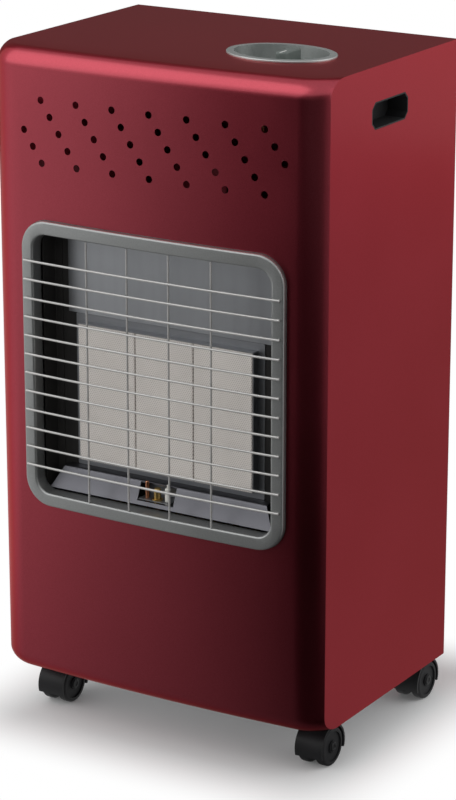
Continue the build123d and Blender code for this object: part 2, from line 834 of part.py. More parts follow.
# Pipes and leads from the controls down the right side of the burner
lanes = [plaque_pitch + plaque_width / 2 + lane_pitch * (step + 1) for step in range(3)]
x_outlets = (x_knob + outlet_pitch / 2, x_knob - outlet_pitch / 2)
z_low = z_manifold - manifold_radius - 2 * lane_drop
y_second = y_injector + lane_pitch
y_third = y_injector + 2 * lane_pitch
with BuildPart() as main_gas_pipe:
    add(
        pipe(
            [
                (x_outlets[0], y_valve_front, z_valve),
                (x_outlets[0], y_injector, z_valve),
                (lanes[0], y_injector, z_valve - 6 * lane_pitch),
                (lanes[0], y_injector, z_manifold),
                (x_manifold, y_injector, z_manifold),
            ],
            main_pipe_radius,
        )
    )
with BuildPart() as pilot_gas_pipe:
    add(
        pipe(
            [
                (x_outlets[1], y_valve_front, z_valve),
                (x_outlets[1], y_second, z_valve),
                (lanes[1], y_second, z_valve - 9 * lane_pitch),
                (lanes[1], y_second, z_low),
                (pilot_x, y_pilot, z_low),
                (pilot_x, y_pilot, z_bracket - pilot_tail),
            ],
            pilot_pipe_radius,
        )
    )
with BuildPart() as flame_sensor:
    add(rod(x_sensor, y_pilot, z_bracket - pilot_tail, z_bracket + sensor_rise, sensor_radius))
    fillet(flame_sensor.faces().sort_by(Axis.Z)[-1].edges(), sensor_radius / 2)
    add(
        pipe(
            [
                (x_sensor, y_pilot, z_bracket - pilot_tail),
                (x_sensor, y_pilot, z_low - lane_drop),
                (lanes[2], y_third, z_low - lane_drop),
                (lanes[2], y_third, z_valve),
                (lanes[2], y_control, z_valve),
                (x_knob + valve_width / 2, y_control, z_valve),
            ],
            sensor_lead_radius,
        )
    )
with BuildPart() as spark_electrode:
    add(rod(x_electrode, y_pilot, z_bracket - pilot_tail, z_bracket + electrode_rise, electrode_radius))
    fillet(spark_electrode.faces().sort_by(Axis.Z)[-1].edges(), electrode_radius / 2)
    add(
        rod(
            x_electrode,
            y_pilot,
            z_bracket + electrode_rise - sheet,
            z_bracket + sensor_rise,
            electrode_wire,
        )
    )
with BuildPart() as ignition_lead:
    add(
        pipe(
            [
                (x_igniter, y_control, z_seat - igniter_length),
                (x_igniter, y_control, z_seat - igniter_length - 2 * lane_pitch),
                (x_igniter, y_third, z_seat - igniter_length - 4 * lane_pitch),
                (x_igniter, y_third, z_low - 2 * lane_drop),
                (x_electrode, y_pilot, z_low - 2 * lane_drop),
                (x_electrode, y_pilot, z_bracket - pilot_tail),
            ],
            lead_radius,
        )
    )

# Upper back panel, with louvre slots, and the screws that hold it
z_cover_low = z_bottom + cover_foot
z_cover_high = z_top - cover_head
z_cover = (z_cover_low + z_cover_high) / 2
cover_flange_width = cabinet_width - 2 * cover_side
cover_flange_height = z_cover_high - z_cover_low
cover_base_width = cover_flange_width - 2 * cover_rim_side
cover_base_height = cover_flange_height - 2 * cover_rim_end
cover_rear_width = cover_base_width - 2 * cover_taper_side
cover_rear_height = cover_base_height - 2 * cover_taper_end
tongue_spread = cover_flange_height - 2 * tongue_margin
rear_slot_length = cabinet_width - 2 * rear_slot_side
rear_slot_spread = cover_rear_height - 2 * rear_slot_margin
z_back_low = z_cover_high + back_gap
z_back_high = z_top - sheet - part_gap
with BuildPart() as back_upper_panel:
    add(
        bent_sheet(
            Plane.YZ,
            [
                (y_rear - sheet - back_lip, z_back_low),
                (y_rear - sheet, z_back_low),
                (y_rear - sheet, z_back_high),
            ],
            plate_bend,
            2 * (inner_half - sheet - part_gap),
        )
    )
    with BuildSketch(Plane.XZ.offset(-y_rear)):
        with Locations((0, (z_back_low + z_back_high) / 2)):
            with GridLocations(rear_slot_length + rear_slot_pitch, rear_slot_pitch, 2, rear_slot_rows):
                SlotOverall(rear_slot_length, rear_slot_width)
        with Locations(*[(sign * x_return, height) for sign in sides.values() for height in screw_heights]):
            Circle(screw_shank + running_gap)
    extrude(amount=3 * sheet, mode=Mode.SUBTRACT)
with BuildPart() as back_screws:
    with BuildSketch(Plane.XZ.offset(-y_rear)):
        with Locations(*[(sign * x_return, height) for sign in sides.values() for height in screw_heights]):
            Circle(screw_shank)
    extrude(amount=screw_reach)
    with BuildSketch(Plane.XZ.offset(-y_rear)):
        with Locations(*[(sign * x_return, height) for sign in sides.values() for height in screw_heights]):
            Circle(screw_head)
    extrude(amount=-screw_head_height)

# Rear cover over the bottle bay: a tapered pan with a flange, guide tongues and louvre slots
y_seat = y_rear + part_gap
x_tongue = inner_half - rear_return - part_gap - sheet
with BuildPart() as rear_cover:
    with BuildSketch(Plane.XZ.offset(-y_seat)):
        with Locations((0, z_cover)):
            RectangleRounded(cover_base_width, cover_base_height, cover_corner)
    with BuildSketch(Plane.XZ.offset(-y_back)):
        with Locations((0, z_cover)):
            RectangleRounded(cover_rear_width, cover_rear_height, cover_corner)
    loft()
    with BuildSketch(Plane.XZ.offset(-y_seat)):
        with Locations((0, z_cover)):
            Rectangle(cover_flange_width, cover_flange_height)
    extrude(amount=-sheet)
    with BuildSketch(Plane.XZ.offset(-y_seat)):
        with Locations((0, z_cover)):
            RectangleRounded(cover_base_width - 2 * sheet, cover_base_height - 2 * sheet, cover_corner - sheet)
    with BuildSketch(Plane.XZ.offset(-(y_back - sheet))):
        with Locations((0, z_cover)):
            RectangleRounded(cover_rear_width - 2 * sheet, cover_rear_height - 2 * sheet, cover_corner - sheet)
    loft(mode=Mode.SUBTRACT)
    with BuildSketch(Plane.XZ.offset(-(y_seat + sheet))):
        with Locations((0, z_cover)):
            with GridLocations(2 * x_tongue + sheet, tongue_spread, 2, 2):
                Rectangle(sheet, tongue_height)
    extrude(amount=tongue_reach + sheet)
    with BuildSketch(Plane.XZ.offset(-y_back)):
        with Locations((0, z_cover)):
            with GridLocations(0, rear_slot_spread, 1, 2):
                with GridLocations(0, rear_slot_pitch, 1, rear_slot_rows):
                    SlotOverall(rear_slot_length, rear_slot_width)
    extrude(amount=3 * sheet, both=True, mode=Mode.SUBTRACT)

# Casters: socket in the base, hood with its stem, axle and a pair of wheels
z_socket = z_bottom - socket_thick
wheel_start = caster_web / 2 + wheel_gap
hood_width = 2 * (wheel_start + wheel_width)
hood_radius = wheel_radius + hood_gap


def caster_socket(x, y):
    """A flanged bush under the base tray that takes a caster's stem."""
    with BuildPart() as socket:
        with BuildSketch(Plane.XY.offset(z_socket)):
            with Locations((x, y)):
                RectangleRounded(socket_plate, socket_plate, socket_corner)
        extrude(amount=socket_thick)
        add(rod(x, y, z_socket, z_socket + socket_height, socket_radius))
        with BuildSketch(Plane.XY.offset(z_socket)):
            with Locations((x, y)):
                Circle(stem_radius + running_gap)
        extrude(amount=socket_height, mode=Mode.SUBTRACT)
    return socket


def caster_hood(x, y, y_axle):
    """A hood over both wheels with a web between them, a boss and the swivel stem."""
    with BuildPart() as hood:
        with BuildSketch(Plane.YZ.offset(x)):
            with Locations((y_axle, wheel_radius)):
                Circle(hood_radius + hood_wall)
            with Locations((y_axle, wheel_radius - hood_skirt)):
                Rectangle(
                    4 * hood_radius, 2 * hood_radius, align=(Align.CENTER, Align.MAX), mode=Mode.SUBTRACT
                )
        extrude(amount=hood_width / 2, both=True)
        add(rod(x, y, wheel_radius, z_socket - swivel_gap, stem_boss))
        for sign in sides.values():
            with BuildSketch(Plane.YZ.offset(x + sign * caster_web / 2)):
                with Locations((y_axle, wheel_radius)):
                    Circle(hood_radius)
            extrude(amount=sign * hood_width, mode=Mode.SUBTRACT)
        with BuildSketch(Plane.YZ.offset(x)):
            with Locations((y_axle, wheel_radius)):
                Circle(axle_radius + running_gap)
        extrude(amount=hood_width, both=True, mode=Mode.SUBTRACT)
        add(rod(x, y, z_socket - 2 * swivel_gap, z_socket + socket_height - stem_end_gap, stem_radius))
    return hood


def caster_axle(x, y_axle):
    """The axle that both wheels are pressed on."""
    with BuildPart() as axle:
        with BuildSketch(Plane.YZ.offset(x)):
            with Locations((y_axle, wheel_radius)):
                Circle(axle_radius)
        extrude(amount=hood_width / 2 - wheel_dish, both=True)
    return axle


def caster_wheel(x, y_axle, sign):
    """One wheel: a rounded tread with a dished outer face round the hub."""
    with BuildPart() as wheel:
        with BuildSketch(Plane.YZ.offset(x + sign * wheel_start)):
            with Locations((y_axle, wheel_radius)):
                Circle(wheel_radius)
        extrude(amount=sign * wheel_width)
        fillet(wheel.edges().filter_by(GeomType.CIRCLE), wheel_round)
        with BuildSketch(Plane.YZ.offset(x + sign * (wheel_start + wheel_width))):
            with Locations((y_axle, wheel_radius)):
                Circle(wheel_radius - wheel_rim)
                Circle(wheel_hub, mode=Mode.SUBTRACT)
        extrude(amount=-sign * wheel_dish, mode=Mode.SUBTRACT)
        with BuildSketch(Plane.YZ.offset(x)):
            with Locations((y_axle, wheel_radius)):
                Circle(axle_radius + press_gap)
        extrude(amount=sign * hood_width, mode=Mode.SUBTRACT)
    return wheel.part


caster_pieces = {}
for place, (x, y, way) in casters.items():
    y_axle = y + way * caster_trail
    wheels = [caster_wheel(x, y_axle, sign) for sign in sides.values()]
    with BuildPart() as wheel_pair:
        add(wheels)
    caster_pieces[f"caster_socket_{place}"] = caster_socket(x, y)
    caster_pieces[f"caster_hood_{place}"] = caster_hood(x, y, y_axle)
    caster_pieces[f"caster_axle_{place}"] = caster_axle(x, y_axle)
    caster_pieces[f"caster_wheels_{place}"] = wheel_pair

# Every piece under its own name, one file each
pieces = {
    "front_panel": front_panel,
    "top_panel": top_panel,
    "base_tray": base_tray,
    "burner_bezel": burner_bezel,
    "wire_guard": wire_guard,
    "plaque_retainer": plaque_retainer,
    "burner_plate": burner_plate,
    "reflector_top": reflector_top,
    "reflector_bottom": reflector_bottom,
    "heat_shield": heat_shield,
    "injector_manifold": injector_manifold,
    "gas_valve": gas_valve,
    "hose_nozzle": hose_nozzle,
    "spindle_collar": spindle_collar,
    "valve_spindle": valve_spindle,
    "control_knob": control_knob,
    "control_plate": control_plate,
    "piezo_igniter": piezo_igniter,
    "igniter_button": igniter_button,
    "pilot_bracket": pilot_bracket,
    "pilot_burner": pilot_burner,
    "flame_sensor": flame_sensor,
    "spark_electrode": spark_electrode,
    "main_gas_pipe": main_gas_pipe,
    "pilot_gas_pipe": pilot_gas_pipe,
    "ignition_lead": ignition_lead,
    "back_upper_panel": back_upper_panel,
    "back_screws": back_screws,
    "rear_cover": rear_cover,
}
pieces |= {f"side_panel_{side}": piece for side, piece in side_panels.items()}
pieces |= {f"hand_cup_{side}": piece for side, piece in hand_cups.items()}
pieces |= {f"recess_wall_{side}": piece for side, piece in recess_walls.items()}
pieces |= {f"plaque_{place}": piece for place, piece in plaques.items()}
pieces |= {f"burner_plenum_{place}": piece for place, piece in plenums.items()}
pieces |= caster_pieces

os.makedirs("parts", exist_ok=True)
for name, piece in pieces.items():
    piece.part.label = name
    export_step(piece.part, f"parts/{name}.step")
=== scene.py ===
"""Finishes, small fittings and stage for a cabinet gas heater on casters."""

import json
import math

import bmesh
import bpy
from bpy.props import FloatProperty, FloatVectorProperty, IntProperty, PointerProperty
from bpy.types import Operator, Panel, PropertyGroup
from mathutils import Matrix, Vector


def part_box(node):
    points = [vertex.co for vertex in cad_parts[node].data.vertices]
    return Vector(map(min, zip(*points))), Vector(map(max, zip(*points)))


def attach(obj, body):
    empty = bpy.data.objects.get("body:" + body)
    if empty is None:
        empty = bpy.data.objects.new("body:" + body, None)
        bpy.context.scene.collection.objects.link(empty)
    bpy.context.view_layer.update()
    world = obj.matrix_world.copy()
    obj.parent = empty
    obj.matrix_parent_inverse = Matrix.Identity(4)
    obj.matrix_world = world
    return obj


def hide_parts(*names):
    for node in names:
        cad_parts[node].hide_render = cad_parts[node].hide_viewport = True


bl_info = {
    "name": "Cabinet gas heater",
    "version": (1, 0, 0),
    "blender": (4, 5, 0),
    "location": "View3D > Sidebar > Heater",
    "description": "Finishes, small fittings and stage for a cabinet gas heater on casters",
    "category": "Object",
}

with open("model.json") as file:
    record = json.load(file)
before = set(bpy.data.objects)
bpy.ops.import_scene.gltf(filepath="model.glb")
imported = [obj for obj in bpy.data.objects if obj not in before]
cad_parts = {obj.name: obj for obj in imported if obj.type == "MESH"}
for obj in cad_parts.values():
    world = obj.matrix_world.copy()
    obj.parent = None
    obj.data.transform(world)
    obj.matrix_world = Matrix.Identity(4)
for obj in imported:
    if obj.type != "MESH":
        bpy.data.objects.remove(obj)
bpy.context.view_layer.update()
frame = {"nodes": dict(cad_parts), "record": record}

MM = 0.001
QUARTER_TURN = math.pi / 2
UP = Vector((0, 0, 1))
BACK = Vector((0, 1, 0))
WHITE = (1, 1, 1)
PIECE_SMOOTHING = math.radians(35)
SKIN_SMOOTHING = math.radians(30)
PIECE_MERGE = 0.001 * MM
SKIN_MERGE = 0.002 * MM
ENDS = ("front", "rear")
SIDES = ("left", "right")
THIRDS = ("left", "centre", "right")
CORNERS = [f"{end}_{side}" for end in ENDS for side in SIDES]
CABINET_SHEETS = ("side_panel_left", "side_panel_right", "top_panel", "back_upper_panel", "rear_cover")


def colour(name, description, value):
    """A colour that a user may change."""
    return FloatVectorProperty(
        name=name, description=description, subtype="COLOR", size=3, min=0, max=1, default=value
    )


def length(name, description, value):
    """A length in metres that a user may change."""
    return FloatProperty(name=name, description=description, unit="LENGTH", min=0, default=value)


def spot(name, description, value):
    """A place in metres that a user may change."""
    return FloatVectorProperty(
        name=name, description=description, subtype="TRANSLATION", size=3, default=value
    )


def angle(name, description, degrees):
    """An angle that a user may change."""
    return FloatProperty(
        name=name, description=description, subtype="ANGLE", default=math.radians(degrees)
    )


def power(name, description, value):
    """A lamp's power that a user may change."""
    return FloatProperty(name=name, description=description, unit="POWER", default=value)


def amount(name, description, value):
    """A plain number that a user may change."""
    return FloatProperty(name=name, description=description, default=value)


def count(name, description, value):
    """A number of like things that a user may change."""
    return IntProperty(name=name, description=description, min=1, default=value)


class HEATER_PG_colours(PropertyGroup):
    """Colours of the heater's finishes."""

    paint: colour("Paint", "Metallic flakes in the cabinet's stove paint", (0.352, 0.048, 0.068))
    paint_deep: colour("Deep paint", "Binder between the paint's flakes", (0.186, 0.018, 0.026))
    paint_edge: colour("Paint edge", "Tint of the paint's gloss at a low angle", (0.8, 0.07, 0.1))
    bezel: colour("Bezel", "Satin metallic grey of the burner's frame", (0.31, 0.318, 0.315))
    plaque: colour("Plaque", "Fireclay face of the burner plaques", (0.66, 0.625, 0.59))
    plaque_hole: colour("Plaque hole", "Shade inside the plaques' fine holes", (0.40, 0.365, 0.335))
    enamel: colour("Enamel", "Black enamel of the burner's recess", (0.006, 0.006, 0.006))
    enamel_bloom: colour("Enamel bloom", "Bloom of heat on the enamel", (0.022, 0.02, 0.019))
    reflector: colour("Reflector", "Rolled bright sheet over the plaques", (0.38, 0.39, 0.41))
    # A darker copy of the reflector's rolled steel for the sheet under the plaques: painted shade.
    shaded_sheet: colour("Shaded sheet", "Rolled sheet under the plaques, darker as painted shade", (0.125, 0.125, 0.138))
    wire: colour("Wire", "Plating of the guard's wires", (0.46, 0.455, 0.445))
    zinc: colour("Zinc", "Zinc coat on the hidden sheets", (0.52, 0.53, 0.54))
    brass: colour("Brass", "Turned brass of manifold, nozzle and nuts", (0.62, 0.43, 0.15))
    copper: colour("Copper", "Drawn copper of the pipes", (0.6, 0.27, 0.15))
    porcelain: colour("Porcelain", "Glazed porcelain of the spark electrode", (0.8, 0.79, 0.75))
    porcelain_deep: colour("Deep porcelain", "Mottle under the porcelain's glaze", (0.62, 0.60, 0.55))
    sleeve: colour("Sleeve", "Sleeve of the ignition lead", (0.016, 0.016, 0.016))
    control: colour("Control plate", "Satin silver of the control plate", (0.40, 0.42, 0.41))
    knob: colour("Knob", "Grey-green knob", (0.13, 0.15, 0.14))
    black: colour("Black plastic", "Moulded black plastic", (0.012, 0.012, 0.013))
    mark: colour("Mark", "Pale dial marks and pointer", (0.74, 0.74, 0.72))


class HEATER_PG_fittings(PropertyGroup):
    """Sizes of the small fittings that the scene adds."""

    rung_pitch: length("Rung pitch", "Height from one guard wire to the next", 21 * MM)
    rung_count: count("Rungs", "How many wires cross the burner", 12)
    rung_radius: length("Rung radius", "Radius of a guard wire", 1.3 * MM)
    rung_bend: length("Rung bend", "Bend at the end of a guard wire", 2.0 * MM)
    front_bow: length("Front bow", "Radius of the bowed front", 2808 * MM)
    nut_radius: length("Pipe nut", "Radius of a pipe nut over its corners", 7.0 * MM)
    nut_length: length("Nut length", "Length of a pipe nut between its collars", 8.0 * MM)
    outlet_offset: length("Outlet offset", "From the valve's middle to each of its outlets", 10 * MM)
    mark_count: count("Dial marks", "How many marks the dial has", 7)
    mark_radius: length("Dial mark", "Radius of the largest dial mark", 1.9 * MM)
    mark_rise: length("Mark rise", "Height of a dial mark's side", 0.3 * MM)
    mark_ring: length("Dial ring", "Radius of the ring of dial marks", 26 * MM)
    dial_start: angle("Dial start", "Bearing of the smallest dial mark", -10)
    dial_sweep: angle("Dial sweep", "Angle from the smallest to the largest dial mark", 200)
    pointer_length: length("Pointer length", "Length of the knob's pointer", 13.8 * MM)
    pointer_width: length("Pointer width", "Width of the knob's pointer", 1.9 * MM)
    pointer_offset: length("Pointer offset", "From the knob's axis to the pointer's middle", 10.5 * MM)
    screw_head: length("Screw head", "Radius of a screw's head", 4.0 * MM)
    screw_rise: length("Screw rise", "Height of a screw's head", 2.2 * MM)
    shank_radius: length("Screw shank", "Radius of a screw's shank", 1.9 * MM)
    cap_radius: length("Hub cap", "Radius of a wheel's hub cap", 5.6 * MM)
    cap_rise: length("Cap rise", "Height of a hub cap", 1.2 * MM)


class HEATER_PG_stage(PropertyGroup):
    """Camera, lamps and flags."""

    yaw: angle("Yaw", "Camera's turn round the heater", 31.551)
    pitch: angle("Pitch", "Camera's tilt down", 17.367)
    lens: amount("Lens", "Camera's focal length in millimetres", 134.1)
    eye: spot("Eye", "Camera's place from the cabinet's front base crease", (1.6526, -2.5544, 1.2946))
    key_power: power("Key", "Power of the soft key lamp", 78)
    key_size: length("Key size", "Side of the key lamp", 4.4)
    key_place: spot("Key place", "Where the key lamp hangs, at the front left", (-1.9, -2.3, 2.6))
    fill_power: power("Fill", "Power of the soft fill lamp", 30)
    fill_size: length("Fill size", "Side of the fill lamp", 2.6)
    fill_place: spot("Fill place", "Where the fill lamp hangs, at the right", (2.6, 0.9, 2.2))
    aim: spot("Aim", "Where both lamps point", (0, 0, 0.4))
    ambient: amount("Ambient", "Strength of the even surrounding light", 0.45)
    # The flags glow with their own grey and are seen only in reflections: painted reflections on the
    # heater's paint.
    flag_reach: length("Flag reach", "Side of a large flag", 4.2)
    flag_turn: angle("Flag turn", "Turn of the line on which the front flag fades", 29.5)
    flag_fade: length("Flag fade", "Half the width over which the front flag fades", 0.42)
    back_tone: amount("Back flag", "Grey of the flag behind the heater", 0.22)
    side_tone: amount("Side flag", "Grey of the flag on the floor beside the heater", 0.54)


class HEATER_PG_settings(PropertyGroup):
    """All that a user may change."""

    colours: PointerProperty(type=HEATER_PG_colours)
    fittings: PointerProperty(type=HEATER_PG_fittings)
    stage: PointerProperty(type=HEATER_PG_stage)


class Reading:
    """A shader socket that can stand in a sum."""

    def __init__(self, finish, socket):
        self.finish = finish
        self.socket = socket

    def math(self, operation, *values):
        """A Math node on some values."""
        return self.finish.node("ShaderNodeMath", {"operation": operation}, dict(enumerate(values)))

    def __add__(self, other):
        return self.math("ADD", self, other)

    def __radd__(self, other):
        return self.math("ADD", other, self)

    def __sub__(self, other):
        return self.math("SUBTRACT", self, other)

    def __rsub__(self, other):
        return self.math("SUBTRACT", other, self)

    def __mul__(self, other):
        return self.math("MULTIPLY", self, other)

    def __rmul__(self, other):
        return self.math("MULTIPLY", other, self)

    def __truediv__(self, other):
        return self.math("DIVIDE", self, other)

    def __rtruediv__(self, other):
        return self.math("DIVIDE", other, self)

    def __mod__(self, other):
        return self.math("FLOORED_MODULO", self, other)

    def __pow__(self, other):
        return self.math("POWER", self, other)

    def floor(self):
        """The whole number below."""
        return self.math("FLOOR", self)


class Finish:
    """A procedural material and the nodes that make it."""

    def __init__(self, name, constants=None):
        self.material = bpy.data.materials.new(name)
        self.material.use_nodes = True
        self.tree = self.material.node_tree
        self.tree.nodes.clear()
        self.shader = self.tree.nodes.new("ShaderNodeBsdfPrincipled")
        output = self.tree.nodes.new("ShaderNodeOutputMaterial")
        self.surface = output.inputs["Surface"]
        self.tree.links.new(self.shader.outputs[0], self.surface)
        self.set(constants or {})

    def feed(self, socket, value):
        """Links a reading to a socket, or sets a plain value on it."""
        if isinstance(value, Reading):
            self.tree.links.new(value.socket, socket)
        elif socket.type == "RGBA":
            socket.default_value = (*value[:3], 1)
        else:
            socket.default_value = value

    def node(self, kind, settings=None, sockets=None, result=0):
        """Any node: its settings first, then the values or links of its sockets."""
        made = self.tree.nodes.new(kind)
        for name, value in (settings or {}).items():
            setattr(made, name, value)
        for key, value in (sockets or {}).items():
            self.feed(made.inputs[key], value)
        return Reading(self, made.outputs[result])

    def parts(self, kind, sockets, *names):
        """Several outputs of one node."""
        made = self.node(kind, None, sockets).socket.node
        return [Reading(self, made.outputs[name]) for name in names]

    def set(self, sockets):
        """Feeds the shader's own sockets."""
        for key, value in sockets.items():
            self.feed(self.shader.inputs[key], value)

    def place(self):
        """A point's place on the piece."""
        return self.node("ShaderNodeTexCoord", result="Object")

    def vector(self, operation, *values, result="Vector"):
        """A Vector Math node on some values."""
        settings = {"operation": operation}
        return self.node("ShaderNodeVectorMath", settings, dict(enumerate(values)), result)

    def noise(self, scale, detail, where=None):
        """Soft clouds, in the piece's own place unless another is given."""
        sockets = {"Vector": where or self.place(), "Scale": scale, "Detail": detail}
        return self.node("ShaderNodeTexNoise", None, sockets)

    def grain(self, scale):
        """A random grey for each small cell."""
        sockets = {"Vector": self.place(), "Scale": scale}
        cells = self.node("ShaderNodeTexVoronoi", None, sockets, "Color")
        return self.node("ShaderNodeSeparateColor", None, {0: cells})

    def span(self, value, low, high):
        """A value drawn out so that low becomes 0 and high becomes 1, held between them."""
        settings = {"interpolation_type": "SMOOTHSTEP"}
        sockets = {"Value": value, "From Min": low, "From Max": high}
        return self.node("ShaderNodeMapRange", settings, sockets)

    def blend(self, factor, first, second):
        """One colour into another."""
        return self.node("ShaderNodeMix", {"data_type": "RGBA"}, {0: factor, 6: first, 7: second}, 2)

    def bump(self, height, distance, strength):
        """A surface that rises with a height."""
        sockets = {"Height": height, "Distance": distance, "Strength": strength}
        return self.node("ShaderNodeBump", None, sockets, "Normal")


def shade(tone, factor):
    """A colour made darker or lighter."""
    return tuple(min(1.0, part * factor) for part in tone)


def paint_finish(colours):
    """Metallic burgundy stove paint under a thin clear coat, with a fine orange peel."""
    paint = Finish("burgundy_paint", {"Metallic": 1.0, "Coat Weight": 0.3, "Coat Roughness": 0.14})
    paint.set({"Specular Tint": colours.paint_edge})
    cloud = paint.noise(scale=5, detail=3)
    flake = paint.grain(scale=1900)
    peel = paint.noise(scale=380, detail=2)
    bright = 0.35 + 0.3 * cloud + 0.35 * flake
    paint.set(
        {
            "Base Color": paint.blend(bright, colours.paint_deep, colours.paint),
            "Roughness": 0.26 + 0.08 * cloud + 0.04 * flake,
            "Normal": paint.bump(peel, distance=0.05 * MM, strength=0.35),
        }
    )
    return paint.material


def zinc_finish(colours):
    """Zinc coat with its spangle."""
    zinc = Finish("zinc_spangle", {"Metallic": 0.92})
    spangle = zinc.grain(scale=70)
    dulling = zinc.noise(scale=9, detail=4)
    skin = zinc.noise(scale=220, detail=2)
    bright = 0.65 * spangle + 0.35 * dulling
    zinc.set(
        {
            "Base Color": zinc.blend(bright, shade(colours.zinc, 0.72), colours.zinc),
            "Roughness": 0.36 + 0.16 * spangle + 0.1 * dulling,
            "Normal": zinc.bump(skin, distance=0.04 * MM, strength=0.3),
        }
    )
    return zinc.material


def bezel_finish(colours):
    """Satin metallic grey on the burner's frame, with a sprayed grain."""
    satin = Finish("satin_grey", {"Metallic": 0.82})
    spray = satin.grain(scale=1500)
    cloud = satin.noise(scale=12, detail=3)
    skin = satin.noise(scale=900, detail=1)
    bright = 0.5 * spray + 0.5 * cloud
    satin.set(
        {
            "Base Color": satin.blend(bright, shade(colours.bezel, 0.78), colours.bezel),
            "Roughness": 0.36 + 0.12 * cloud,
            "Normal": satin.bump(skin, distance=0.03 * MM, strength=0.3),
        }
    )
    return satin.material


def brushed_finish(name, tone, scale, roughness, metallic=1.0):
    """Bright sheet or wire with fine rolling lines along one way."""
    steel = Finish(name, {"Metallic": metallic})
    stretched = steel.vector("MULTIPLY", steel.place(), scale)
    lines = steel.noise(scale=1, detail=3, where=stretched)
    smear = steel.noise(scale=14, detail=3)
    bright = 0.6 * lines + 0.4 * smear
    steel.set(
        {
            "Base Color": steel.blend(bright, shade(tone, 0.8), shade(tone, 1.12)),
            "Roughness": roughness + 0.14 * lines + 0.06 * smear,
            "Normal": steel.bump(lines, distance=0.02 * MM, strength=0.25),
        }
    )
    return steel.material


def plaque_finish(colours):
    """Pale fireclay pierced by rows of fine holes, faintly tinted by heat."""
    pitch = 2.4 * MM
    row_pitch = pitch * math.sqrt(3) / 2
    hole_radius = 0.45 * MM
    hole_rim = 0.7 * MM
    clay = Finish("fireclay", {"Roughness": 0.85, "Specular IOR Level": 0.25})
    across, upward = clay.parts("ShaderNodeSeparateXYZ", {0: clay.place()}, "X", "Z")
    rows = upward / row_pitch
    stagger = (rows.floor() % 2) * 0.5
    u = ((across / pitch + stagger) % 1 - 0.5) * pitch
    v = (rows % 1 - 0.5) * row_pitch
    hole = 1 - clay.span((u * u + v * v) ** 0.5, hole_radius, hole_rim)
    warmth = clay.span(clay.noise(scale=16, detail=3), 0.35, 0.75)
    face = clay.blend(warmth, colours.plaque, shade(colours.plaque, 0.9))
    clay.set(
        {
            # The holes' darker colour is painted shade inside them; the bump sinks them as well.
            "Base Color": clay.blend(hole, face, colours.plaque_hole),
            "Normal": clay.bump(1 - hole, distance=0.4 * MM, strength=0.5),
        }
    )
    return clay.material


def enamel_finish(colours):
    """Matt black stove enamel with a faint bloom of heat."""
    enamel = Finish("black_enamel", {"Specular IOR Level": 0.3})
    bloom = enamel.noise(scale=18, detail=4)
    skin = enamel.noise(scale=600, detail=2)
    enamel.set(
        {
            "Base Color": enamel.blend(bloom, colours.enamel, colours.enamel_bloom),
            "Roughness": 0.55 + 0.2 * bloom,
            "Normal": enamel.bump(skin, distance=0.05 * MM, strength=0.4),
        }
    )
    return enamel.material


def cast_finish(name, tone, metallic, roughness):
    """Die-cast or turned metal with a fine skin."""
    cast = Finish(name, {"Metallic": metallic})
    skin = cast.noise(scale=300, detail=3)
    tarnish = cast.noise(scale=40, detail=4)
    cast.set(
        {
            "Base Color": cast.blend(cast.span(tarnish, 0.3, 0.8), tone, shade(tone, 0.66)),
            "Roughness": roughness + 0.18 * tarnish,
            "Normal": cast.bump(skin, distance=0.06 * MM, strength=0.4),
        }
    )
    return cast.material


def moulded_finish(name, tone, roughness, grain=1.0):
    """Moulded plastic or rubber with a spark-eroded grain and a little dust."""
    plastic = Finish(name, {"Specular IOR Level": 0.25})
    pebble = plastic.noise(scale=1100, detail=2)
    dust = plastic.noise(scale=26, detail=4)
    plastic.set(
        {
            "Base Color": plastic.blend(plastic.span(dust, 0.45, 0.9), tone, shade(tone, 1.7)),
            "Roughness": roughness + 0.16 * dust,
            "Normal": plastic.bump(pebble, distance=0.06 * MM, strength=0.4 * grain),
        }
    )
    return plastic.material


def porcelain_finish(colours):
    """Glazed white porcelain with a faint mottle."""
    glaze = Finish("white_porcelain", {"Coat Weight": 0.4, "Coat Roughness": 0.08})
    mottle = glaze.noise(scale=160, detail=4)
    glaze.set(
        {
            "Base Color": glaze.blend(mottle, colours.porcelain_deep, colours.porcelain),
            "Roughness": 0.22 + 0.12 * mottle,
        }
    )
    return glaze.material


def deselect():
    """Leaves nothing selected, in object mode."""
    if bpy.context.object and bpy.context.object.mode != "OBJECT":
        bpy.ops.object.mode_set(mode="OBJECT")
    bpy.ops.object.select_all(action="DESELECT")


def choose(piece):
    """Makes one piece the only selected and active one."""
    deselect()
    piece.select_set(True)
    bpy.context.view_layer.objects.active = piece


def pick_faces(piece, way, least=0.9):
    """In edit mode, selects the faces that point a given way."""
    bpy.ops.mesh.select_mode(type="FACE")
    bpy.ops.mesh.select_all(action="DESELECT")
    shape = bmesh.from_edit_mesh(piece.data)
    for face in shape.faces:
        face.select_set(face.normal.dot(way) > least)
    shape.select_flush_mode()
    bmesh.update_edit_mesh(piece.data)


def tidy_normals():
    """In edit mode, merges doubles and turns every face outwards."""
    bpy.ops.mesh.select_all(action="SELECT")
    bpy.ops.mesh.remove_doubles(threshold=PIECE_MERGE)
    bpy.ops.mesh.normals_make_consistent(inside=False)


def apply_modifier(piece, kind, **settings):
    """Adds a modifier, sets it and applies it."""
    choose(piece)
    modifier = piece.modifiers.new(kind.title(), kind)
    for name, value in settings.items():
        setattr(modifier, name, value)
    bpy.ops.object.modifier_apply(modifier=modifier.name)


def settle(piece, name, body, material):
    """Puts a finished piece's place into its mesh, names it and hangs it on its body."""
    choose(piece)
    bpy.ops.object.transform_apply(location=True, rotation=True, scale=True)
    bpy.ops.object.shade_smooth_by_angle(angle=PIECE_SMOOTHING)
    piece.name = name
    piece.data.name = name
    piece.data.materials.clear()
    piece.data.materials.append(material)
    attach(piece, body)


